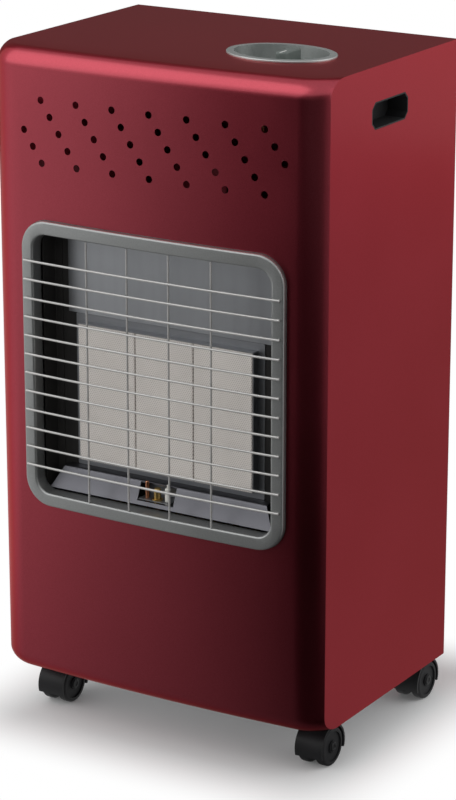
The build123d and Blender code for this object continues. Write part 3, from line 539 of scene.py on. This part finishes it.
def copies(piece, places):
    """Copies of one piece, each with its own mesh, moved to places; the first stays the piece itself."""
    group = [piece]
    for place in places[1:]:
        choose(piece)
        bpy.ops.object.duplicate(linked=False)
        copy = bpy.context.object
        copy.location = Vector(place)
        group.append(copy)
    piece.location = Vector(places[0])
    return group


def join(group):
    """One piece out of several."""
    deselect()
    for piece in group:
        piece.select_set(True)
    bpy.context.view_layer.objects.active = group[0]
    if len(group) > 1:
        bpy.ops.object.join()
    return group[0]


def dress(nodes, material):
    """Gives CAD nodes their finish."""
    for node in nodes:
        mesh = frame["nodes"][node].data
        mesh.materials.clear()
        mesh.materials.append(material)


def body_of(node):
    """The body that a CAD node belongs to."""
    bodies = frame["record"]["behaviour"]["bodies"]
    return next(body for body, members in bodies.items() if node in members)


def smooth_skin(node, material):
    """A merged copy of a curved node that takes the light smoothly, in the node's place."""
    choose(frame["nodes"][node])
    bpy.ops.object.duplicate(linked=False)
    skin = bpy.context.object
    for key in list(skin.keys()):
        del skin[key]
    bpy.ops.mesh.customdata_custom_splitnormals_clear()
    bpy.ops.object.mode_set(mode="EDIT")
    bpy.ops.mesh.select_all(action="SELECT")
    bpy.ops.mesh.remove_doubles(threshold=SKIN_MERGE)
    bpy.ops.object.mode_set(mode="OBJECT")
    bpy.ops.object.shade_smooth_by_angle(angle=SKIN_SMOOTHING, keep_sharp_edges=False)
    skin.name = f"{node}_skin"
    skin.data.name = skin.name
    skin.data.materials.clear()
    skin.data.materials.append(material)
    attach(skin, body_of(node))
    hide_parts(node)


class HEATER_OT_cabinet(Operator):
    """Paints the cabinet's sheets."""

    bl_idname = "heater.cabinet"
    bl_label = "Cabinet"

    def execute(self, context):
        paint = paint_finish(context.scene.heater.colours)
        dress(CABINET_SHEETS, paint)
        smooth_skin("front_panel", paint)
        return {"FINISHED"}


class HEATER_OT_burner(Operator):
    """Finishes the burner: bezel, plaques, reflectors and the sheets round them."""

    bl_idname = "heater.burner"
    bl_label = "Burner"

    def execute(self, context):
        colours = context.scene.heater.colours
        rolled = (90, 300, 6)
        drawn = (40, 600, 600)
        smooth_skin("burner_bezel", bezel_finish(colours))
        dress([f"plaque_{third}" for third in THIRDS], plaque_finish(colours))
        dress(["reflector_top"], brushed_finish("rolled_steel", colours.reflector, rolled, 0.26))
        # The sheet under the plaques takes the same rolled steel as the reflector, only darker: painted
        # shade.
        dress(["reflector_bottom"], brushed_finish("shaded_steel", colours.shaded_sheet, rolled, 0.3))
        retainer = brushed_finish("retainer_steel", shade(colours.reflector, 0.75), drawn, 0.36)
        dress(["plaque_retainer", "pilot_bracket"], retainer)
        dress(["burner_plate", "recess_wall_left", "recess_wall_right"], enamel_finish(colours))
        plenums = [f"burner_plenum_{third}" for third in THIRDS]
        dress(["base_tray", "heat_shield", *plenums], zinc_finish(colours))
        return {"FINISHED"}


class HEATER_OT_guard(Operator):
    """Finishes the guard's wires and turns their ends back into the bezel."""

    bl_idname = "heater.guard"
    bl_label = "Guard"

    def execute(self, context):
        fittings = context.scene.heater.fittings
        tone = context.scene.heater.colours.wire
        plated = brushed_finish("plated_wire", tone, (30, 500, 500), 0.34, metallic=0.6)
        smooth_skin("wire_guard", plated)
        low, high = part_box("wire_guard")
        reach = high.x
        bow = reach**2 / (2 * fittings.front_bow)
        middle = (low.z + high.z) / 2
        first = middle - fittings.rung_pitch * (fittings.rung_count - 1) / 2
        end = Vector((reach, low.y + fittings.rung_radius + bow, first))
        wire = self.turned_end(fittings, end)
        apply_modifier(
            wire,
            "ARRAY",
            count=fittings.rung_count,
            use_relative_offset=False,
            use_constant_offset=True,
            constant_offset_displace=(0, 0, fittings.rung_pitch),
        )
        apply_modifier(
            wire, "MIRROR", use_axis=(True, False, False), use_clip=False, use_mirror_merge=False
        )
        bpy.ops.object.mode_set(mode="EDIT")
        tidy_normals()
        bpy.ops.object.mode_set(mode="OBJECT")
        settle(wire, "guard_ends", "cabinet", plated)
        return {"FINISHED"}

    def turned_end(self, fittings, end):
        """The right end of the lowest wire: a round bent to the back and drawn on."""
        bend = fittings.rung_bend
        deselect()
        bpy.ops.mesh.primitive_circle_add(
            vertices=14,
            radius=fittings.rung_radius,
            fill_type="NGON",
            location=end,
            rotation=(0, QUARTER_TURN, 0),
        )
        wire = bpy.context.object
        bpy.ops.object.transform_apply(location=True, rotation=True, scale=True)
        bpy.ops.object.mode_set(mode="EDIT")
        bpy.ops.mesh.select_all(action="SELECT")
        bpy.ops.mesh.spin(steps=6, angle=QUARTER_TURN, center=end + bend * BACK, axis=UP)
        bpy.ops.mesh.extrude_region_move(TRANSFORM_OT_translate={"value": bend * BACK})
        tidy_normals()
        bpy.ops.object.mode_set(mode="OBJECT")
        return wire


class HEATER_OT_gas_train(Operator):
    """Finishes valve, pipes and pilot, and adds the nuts that hold the pipes."""

    bl_idname = "heater.gas_train"
    bl_label = "Gas train"

    def execute(self, context):
        fittings = context.scene.heater.fittings
        colours = context.scene.heater.colours
        brass = cast_finish("turned_brass", colours.brass, metallic=1.0, roughness=0.26)
        dress(["injector_manifold", "hose_nozzle", "pilot_burner"], brass)
        dress(["gas_valve"], cast_finish("cast_alloy", colours.zinc, metallic=0.9, roughness=0.36))
        copper = cast_finish("drawn_copper", colours.copper, metallic=1.0, roughness=0.24)
        dress(["main_gas_pipe", "pilot_gas_pipe", "flame_sensor"], copper)
        dress(["spark_electrode"], porcelain_finish(colours))
        dress(["ignition_lead"], moulded_finish("lead_sleeve", colours.sleeve, 0.5))
        plate = brushed_finish("zinc_plate", colours.zinc, (400, 400, 60), 0.26)
        dress(["spindle_collar", "valve_spindle"], plate)
        nuts = [self.nut(fittings, place, turn) for place, turn in self.seats(fittings)]
        settle(join(nuts), "pipe_nuts", "cabinet", brass)
        return {"FINISHED"}

    def seats(self, fittings):
        """The nuts' places and turns: two on the valve's front, one on the manifold's end."""
        pipe_radius = 3 * MM
        bar_radius = 6 * MM
        half = fittings.nut_length / 2
        valve_low, valve_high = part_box("gas_valve")
        bar_low, bar_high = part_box("injector_manifold")
        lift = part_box("main_gas_pipe")[1].z - pipe_radius
        middle = (valve_low.x + valve_high.x) / 2
        bar_middle = (bar_low.y + bar_high.y) / 2
        outlets = (middle + fittings.outlet_offset, middle - fittings.outlet_offset)
        seats = [(Vector((x, valve_low.y - half, lift)), (QUARTER_TURN, 0, 0)) for x in outlets]
        bar_end = Vector((bar_high.x + half, bar_middle, bar_low.z + bar_radius))
        return [*seats, (bar_end, (0, QUARTER_TURN, 0))]

    def nut(self, fittings, place, turn):
        """A six-sided nut with a raised, chamfered collar at each end."""
        radius = fittings.nut_radius
        collar_inset = 0.18 * radius
        collar_rise = 0.12 * radius
        chamfer = 0.06 * radius
        deselect()
        bpy.ops.mesh.primitive_cylinder_add(
            vertices=6, radius=radius, depth=fittings.nut_length, location=place, rotation=turn
        )
        nut = bpy.context.object
        bpy.ops.object.mode_set(mode="EDIT")
        for way in (UP, -UP):
            pick_faces(nut, way)
            bpy.ops.mesh.inset(thickness=collar_inset)
            bpy.ops.mesh.extrude_region_shrink_fatten(TRANSFORM_OT_shrink_fatten={"value": collar_rise})
        bpy.ops.object.mode_set(mode="OBJECT")
        apply_modifier(nut, "BEVEL", width=chamfer, segments=2, limit_method="ANGLE")
        bpy.ops.object.transform_apply(location=True, rotation=True, scale=True)
        return nut


class HEATER_OT_controls(Operator):
    """Finishes plate, knob and button, and adds the dial's marks and the knob's pointer."""

    bl_idname = "heater.controls"
    bl_label = "Controls"

    def execute(self, context):
        colours = context.scene.heater.colours
        fittings = context.scene.heater.fittings
        satin = brushed_finish("satin_silver", colours.control, (60, 900, 900), 0.3, metallic=0.75)
        smooth_skin("control_plate", satin)
        smooth_skin("control_knob", moulded_finish("knob_plastic", colours.knob, 0.36))
        black = moulded_finish("control_black", colours.black, 0.4)
        smooth_skin("igniter_button", black)
        dress(["piezo_igniter"], black)
        printed = moulded_finish("pale_print", colours.mark, 0.4, grain=0.3)
        low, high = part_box("control_knob")
        centre = (low + high) / 2
        marks = self.marks(fittings, centre)
        settle(join(marks), "dial_marks", "cabinet", printed)
        pointer = self.pointer(fittings, Vector((centre.x, centre.y - fittings.pointer_offset, high.z)))
        settle(pointer, "knob_pointer", "knob", printed)
        return {"FINISHED"}

    def marks(self, fittings, centre):
        """Dots on the plate's sunk floor, in a ring round the knob, each larger than the last."""
        plate_thickness = 1.5 * MM
        least = 0.45
        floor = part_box("control_plate")[0].z + plate_thickness
        marks = []
        for step in range(fittings.mark_count):
            share = step / max(1, fittings.mark_count - 1)
            bearing = fittings.dial_start + fittings.dial_sweep * share
            offset = Vector((math.cos(bearing), math.sin(bearing), 0)) * fittings.mark_ring
            radius = fittings.mark_radius * (least + (1 - least) * share)
            place = Vector((centre.x, centre.y, floor)) + offset
            marks.append(self.mark(radius, fittings.mark_rise, place))
        return marks

    def mark(self, radius, rise, place):
        """A low raised dot with a sloping edge."""
        crown = 0.15 * MM
        deselect()
        bpy.ops.mesh.primitive_cylinder_add(vertices=20, radius=radius, depth=rise, location=place)
        dot = bpy.context.object
        dot.location.z += rise / 2
        bpy.ops.object.mode_set(mode="EDIT")
        pick_faces(dot, UP)
        bpy.ops.mesh.inset(thickness=0.25 * radius)
        bpy.ops.transform.translate(value=crown * UP)
        bpy.ops.object.mode_set(mode="OBJECT")
        bpy.ops.object.transform_apply(location=True, rotation=True, scale=True)
        return dot

    def pointer(self, fittings, place):
        """A dished inlay with softened edges that fills the groove in the knob."""
        depth = 0.4 * MM
        rim = 0.25 * MM
        sink = 0.1 * MM
        deselect()
        bpy.ops.mesh.primitive_cube_add(
            size=1,
            location=place - depth / 2 * UP,
            scale=(fittings.pointer_width, fittings.pointer_length, depth),
        )
        inlay = bpy.context.object
        bpy.ops.object.transform_apply(location=True, rotation=True, scale=True)
        apply_modifier(inlay, "BEVEL", width=0.12 * MM, segments=2, limit_method="ANGLE")
        bpy.ops.object.mode_set(mode="EDIT")
        pick_faces(inlay, UP, least=0.99)
        bpy.ops.mesh.inset(thickness=rim)
        bpy.ops.transform.translate(value=-sink * UP)
        bpy.ops.object.mode_set(mode="OBJECT")
        return inlay


class HEATER_OT_hand_cups(Operator):
    """Finishes the hand cups."""

    bl_idname = "heater.hand_cups"
    bl_label = "Hand cups"

    def execute(self, context):
        black = moulded_finish("cup_plastic", context.scene.heater.colours.black, 0.5)
        for side in SIDES:
            smooth_skin(f"hand_cup_{side}", black)
        return {"FINISHED"}


class HEATER_OT_screws(Operator):
    """Puts pan-head screws with a cross recess in the back panel."""

    bl_idname = "heater.screws"
    bl_label = "Back screws"

    def execute(self, context):
        fittings = context.scene.heater.fittings
        low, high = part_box("back_screws")
        head = fittings.screw_head
        seat = high.y - fittings.screw_rise
        heights = (low.z + head, high.z - head)
        places = [(x, seat, z) for x in (low.x + head, high.x - head) for z in heights]
        screws = copies(self.screw(fittings, high.y - low.y - fittings.screw_rise), places)
        plate = brushed_finish("screw_zinc", context.scene.heater.colours.zinc, (300, 300, 300), 0.28)
        group = join(screws)
        settle(group, "back_screw_set", "cabinet", plate)
        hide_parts("back_screws")
        return {"FINISHED"}

    def screw(self, fittings, reach):
        """One screw at the origin: domed head to the back, shank to the front, cross recess cut in."""
        radius = fittings.screw_head
        rise = fittings.screw_rise
        dome = 0.45 * rise
        deselect()
        bpy.ops.mesh.primitive_cylinder_add(
            vertices=28, radius=radius, depth=rise, location=rise / 2 * BACK, rotation=(-QUARTER_TURN, 0, 0)
        )
        screw = bpy.context.object
        bpy.ops.object.transform_apply(location=True, rotation=True, scale=True)
        bpy.ops.object.mode_set(mode="EDIT")
        pick_faces(screw, BACK)
        bpy.ops.mesh.bevel(offset=dome, segments=4, affect="EDGES")
        pick_faces(screw, -BACK)
        bpy.ops.mesh.inset(thickness=radius - fittings.shank_radius)
        bpy.ops.mesh.extrude_region_move(TRANSFORM_OT_translate={"value": -reach * BACK})
        bpy.ops.object.mode_set(mode="OBJECT")
        blade_size = (1.2 * radius, 1.2 * rise, 0.22 * radius)
        for turn in (0, QUARTER_TURN):
            deselect()
            bpy.ops.mesh.primitive_cube_add(
                size=1, location=rise * BACK, rotation=(0, turn, 0), scale=blade_size
            )
            blade = bpy.context.object
            apply_modifier(screw, "BOOLEAN", operation="DIFFERENCE", object=blade, solver="EXACT")
            bpy.data.objects.remove(blade)
        return screw


class HEATER_OT_casters(Operator):
    """Finishes the casters and caps their hubs."""

    bl_idname = "heater.casters"
    bl_label = "Casters"

    def execute(self, context):
        colours = context.scene.heater.colours
        fittings = context.scene.heater.fittings
        shell = moulded_finish("caster_plastic", colours.black, 0.38)
        tread = moulded_finish("tread", shade(colours.black, 1.3), 0.55, grain=1.4)
        plate = brushed_finish("axle_zinc", colours.zinc, (60, 500, 500), 0.26)
        dress([f"caster_axle_{corner}" for corner in CORNERS], plate)
        dress([f"caster_socket_{corner}" for corner in CORNERS], shell)
        for corner in CORNERS:
            smooth_skin(f"caster_hood_{corner}", shell)
            smooth_skin(f"caster_wheels_{corner}", tread)
            low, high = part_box(f"caster_wheels_{corner}")
            centre = (low + high) / 2
            caps = [
                self.cap(fittings, Vector((x, centre.y, centre.z)), way)
                for x, way in ((low.x, -1), (high.x, 1))
            ]
            settle(join(caps), f"hub_caps_{corner}", f"wheels_{corner}", shell)
        return {"FINISHED"}

    def cap(self, fittings, place, way):
        """A low dished cap on a wheel's hub."""
        radius = fittings.cap_radius
        rise = fittings.cap_rise
        deselect()
        bpy.ops.mesh.primitive_cylinder_add(
            vertices=24,
            radius=radius,
            depth=rise,
            location=place + Vector((way * rise / 2, 0, 0)),
            rotation=(0, way * QUARTER_TURN, 0),
        )
        cap = bpy.context.object
        bpy.ops.object.mode_set(mode="EDIT")
        pick_faces(cap, UP)
        bpy.ops.mesh.bevel(offset=0.5 * rise, segments=3, affect="EDGES")
        pick_faces(cap, UP, least=0.99)
        bpy.ops.mesh.inset(thickness=0.35 * radius)
        bpy.ops.mesh.inset(thickness=0.1 * radius, depth=-0.5 * rise)
        bpy.ops.object.mode_set(mode="OBJECT")
        bpy.ops.object.transform_apply(location=True, rotation=True, scale=True)
        return cap


class HEATER_OT_stage(Operator):
    """Sets floor, flags, soft light, surroundings and camera."""

    bl_idname = "heater.stage"
    bl_label = "Stage"

    def execute(self, context):
        scene = context.scene
        stage = scene.heater.stage
        scene.view_settings.view_transform = "Standard"
        self.floor()
        self.flags(stage)
        self.lights(stage)
        self.surroundings(scene, stage)
        self.camera(scene, stage)
        return {"FINISHED"}

    def floor(self):
        """A wide pale floor: white further off; round the heater its white glow fades, so that it shows the
        lamps' light and keeps the shadow, and turns greyer towards the heater, partly as painted shade.
        """
        half_base = (0.17, 0.17, 0)
        shadow_reach = 0.12
        least_glow = 0.05
        deselect()
        bpy.ops.mesh.primitive_plane_add(size=18, location=2 * BACK)
        floor = bpy.context.object
        floor.name = "floor"
        bpy.ops.object.transform_apply(location=True, rotation=True, scale=True)
        pale = Finish("pale_floor", {"Base Color": (0.86, 0.86, 0.86), "Roughness": 0.9})
        pale.set({"Specular IOR Level": 0.0})
        direct, mirrored, passed = pale.parts(
            "ShaderNodeLightPath", None, "Is Camera Ray", "Is Glossy Ray", "Is Transmission Ray"
        )
        seen = direct + mirrored + passed
        outside = pale.vector("SUBTRACT", pale.vector("ABSOLUTE", pale.place()), half_base)
        away = pale.vector("LENGTH", pale.vector("MAXIMUM", outside, (0, 0, 0)), result="Value")
        # The glow share falls towards the heater's footprint, so the floor there turns greyer with the
        # lamps' real light and shadow: partly painted shade.
        share = least_glow + (1 - least_glow) * pale.span(away, 0.0, shadow_reach)
        glow = pale.node("ShaderNodeEmission", None, {"Color": WHITE, "Strength": 1.0})
        lit = Reading(pale, pale.shader.outputs[0])
        mixed = pale.node("ShaderNodeMixShader", None, {0: share * seen, 1: lit, 2: glow})
        pale.feed(pale.surface, mixed)
        floor.data.materials.append(pale.material)

    def flags(self, stage):
        """Flags that only reflections see, glowing with their own grey as painted reflections: a fading one
        in front, greys behind and beside the heater.
        """
        turn = stage.flag_turn
        reach = stage.flag_reach
        along = Vector((-math.sin(turn), -math.cos(turn), 0))
        across = Vector((math.cos(turn), -math.sin(turn), 0))
        start = Vector((-0.22, -0.2, 2 * MM))
        past_start = 0.36
        corner = start - past_start * along - stage.flag_fade * across
        centre = corner + reach / 2 * (along + across)
        cloth = self.fading_cloth(across, start.dot(across), stage.flag_fade)
        front = self.flag("front_flag", cloth, centre, (0, 0, -turn), reach)
        self.raise_far_edges(front, corner, along, across, reach)
        back_place = Vector((-1.35, 2.1, 1.75))
        back_turn = (QUARTER_TURN, 0, math.radians(33))
        back_cloth = self.grey_cloth("painted_reflection_back", stage.back_tone)
        self.flag("back_flag", back_cloth, back_place, back_turn, reach)
        side_place = Vector((1.62, 1.22, 1 * MM))
        side_cloth = self.grey_cloth("painted_reflection_side", stage.side_tone)
        self.flag("side_flag", side_cloth, side_place, (0, 0, 0), 0.7 * reach)

    def flag(self, name, cloth, place, turn, size):
        """A square flag, left to be seen only in reflections."""
        deselect()
        bpy.ops.mesh.primitive_plane_add(size=size, location=place, rotation=turn)
        flag = bpy.context.object
        bpy.ops.object.transform_apply(location=True, rotation=True, scale=True)
        flag.name = name
        flag.data.materials.append(cloth)
        flag.visible_camera = False
        flag.visible_diffuse = False
        flag.visible_transmission = False
        flag.visible_shadow = False
        return flag

    def raise_far_edges(self, flag, corner, along, across, reach):
        """Draws the two edges of a lying flag that are far from its corner up into walls."""
        wall_height = 0.6 * reach
        choose(flag)
        bpy.ops.object.mode_set(mode="EDIT")
        bpy.ops.mesh.select_mode(type="EDGE")
        bpy.ops.mesh.select_all(action="DESELECT")
        shape = bmesh.from_edit_mesh(flag.data)
        for edge in shape.edges:
            offset = (edge.verts[0].co + edge.verts[1].co) / 2 - corner
            edge.select_set(max(offset.dot(along), offset.dot(across)) > 0.99 * reach)
        bmesh.update_edit_mesh(flag.data)
        bpy.ops.mesh.extrude_region_move(TRANSFORM_OT_translate={"value": wall_height * UP})
        bpy.ops.object.mode_set(mode="OBJECT")

    def grey_cloth(self, name, tone):
        """Cloth of one grey."""
        return self.glowing(Finish(name), (tone, tone, tone))

    def fading_cloth(self, across, start, half):
        """Glowing cloth whose grey falls from white to black, half to each side of a line, and rises far
        off: a painted reflection.
        """
        rise_start = start + 3.8 * half
        rise_end = start + 7.6 * half
        far_tone = 0.12
        fading = Finish("painted_reflection_fade")
        way = fading.vector("DOT_PRODUCT", fading.place(), across, result="Value")
        fall = fading.node(
            "ShaderNodeMapRange", None, {"Value": way, "From Min": start - half, "From Max": start + half}
        )
        rise = fading.span(way, rise_start, rise_end)
        return self.glowing(fading, 1 - fall + far_tone * rise)

    def glowing(self, cloth, tone):
        """Lets a cloth show its own grey, whatever light falls on it."""
        glow = cloth.node("ShaderNodeEmission", None, {"Color": tone, "Strength": 1.0})
        cloth.feed(cloth.surface, glow)
        return cloth.material

    def lights(self, stage):
        """A large soft key lamp from the front left and a wide fill lamp from the right."""
        aim = Vector(stage.aim)
        self.lamp("key", stage.key_power, stage.key_size, Vector(stage.key_place), aim)
        self.lamp("fill", stage.fill_power, stage.fill_size, Vector(stage.fill_place), aim)

    def lamp(self, name, watts, size, place, aim):
        """A square lamp that points at a place."""
        deselect()
        bpy.ops.object.light_add(type="AREA", location=place)
        lamp = bpy.context.object
        lamp.name = name
        lamp.data.energy = watts
        lamp.data.size = size
        lamp.rotation_euler = (aim - place).to_track_quat("-Z", "Y").to_euler()

    def surroundings(self, scene, stage):
        """White to the eye and in reflections, a soft even light otherwise."""
        world = bpy.data.worlds.new("surroundings")
        scene.world = world
        world.use_nodes = True
        nodes = world.node_tree.nodes
        links = world.node_tree.links
        nodes.clear()
        path = nodes.new("ShaderNodeLightPath").outputs
        seen = path["Is Camera Ray"]
        for kind in ("Is Glossy Ray", "Is Transmission Ray"):
            total = nodes.new("ShaderNodeMath")
            total.operation = "ADD"
            total.use_clamp = True
            links.new(seen, total.inputs[0])
            links.new(path[kind], total.inputs[1])
            seen = total.outputs[0]
        mixed = nodes.new("ShaderNodeMixShader")
        links.new(seen, mixed.inputs[0])
        for socket, strength in ((1, stage.ambient), (2, 1.0)):
            background = nodes.new("ShaderNodeBackground")
            background.inputs["Strength"].default_value = strength
            background.inputs["Color"].default_value = (*WHITE, 1)
            links.new(background.outputs[0], mixed.inputs[socket])
        links.new(mixed.outputs[0], nodes.new("ShaderNodeOutputWorld").inputs["Surface"])

    def camera(self, scene, stage):
        """A long lens from the right, above the heater's middle."""
        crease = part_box("side_panel_right")[0]
        deselect()
        bpy.ops.object.camera_add(
            location=Vector((0, crease.y, crease.z)) + Vector(stage.eye),
            rotation=(QUARTER_TURN - stage.pitch, 0, stage.yaw),
        )
        eye = bpy.context.object
        eye.data.lens = stage.lens
        eye.data.sensor_width = 36
        scene.camera = eye


OPERATORS = (
    HEATER_OT_cabinet,
    HEATER_OT_burner,
    HEATER_OT_guard,
    HEATER_OT_gas_train,
    HEATER_OT_controls,
    HEATER_OT_hand_cups,
    HEATER_OT_screws,
    HEATER_OT_casters,
    HEATER_OT_stage,
)


class HEATER_PT_sidebar(Panel):
    """Lists the heater's steps and settings."""

    bl_idname = "HEATER_PT_sidebar"
    bl_label = "Cabinet gas heater"
    bl_space_type = "VIEW_3D"
    bl_region_type = "UI"
    bl_category = "Heater"

    def draw(self, context):
        for step in OPERATORS:
            self.layout.operator(step.bl_idname)
        for group in ("colours", "fittings", "stage"):
            box = self.layout.box()
            settings = getattr(context.scene.heater, group)
            for name in settings.bl_rna.properties.keys():
                if name not in ("rna_type", "name"):
                    box.prop(settings, name)


CLASSES = (
    HEATER_PG_colours,
    HEATER_PG_fittings,
    HEATER_PG_stage,
    HEATER_PG_settings,
    *OPERATORS,
    HEATER_PT_sidebar,
)


def register():
    """Makes the classes known and hangs the settings on the scene."""
    for kind in CLASSES:
        bpy.utils.register_class(kind)
    bpy.types.Scene.heater = PointerProperty(type=HEATER_PG_settings)


def unregister():
    """Takes the settings and classes away again."""
    del bpy.types.Scene.heater
    for kind in reversed(CLASSES):
        bpy.utils.unregister_class(kind)


def main():
    """Dresses the heater step by step."""
    register()
    bpy.ops.heater.cabinet()
    bpy.ops.heater.burner()
    bpy.ops.heater.guard()
    bpy.ops.heater.gas_train()
    bpy.ops.heater.controls()
    bpy.ops.heater.hand_cups()
    bpy.ops.heater.screws()
    bpy.ops.heater.casters()
    bpy.ops.heater.stage()


if __name__ == "__main__":
    main()
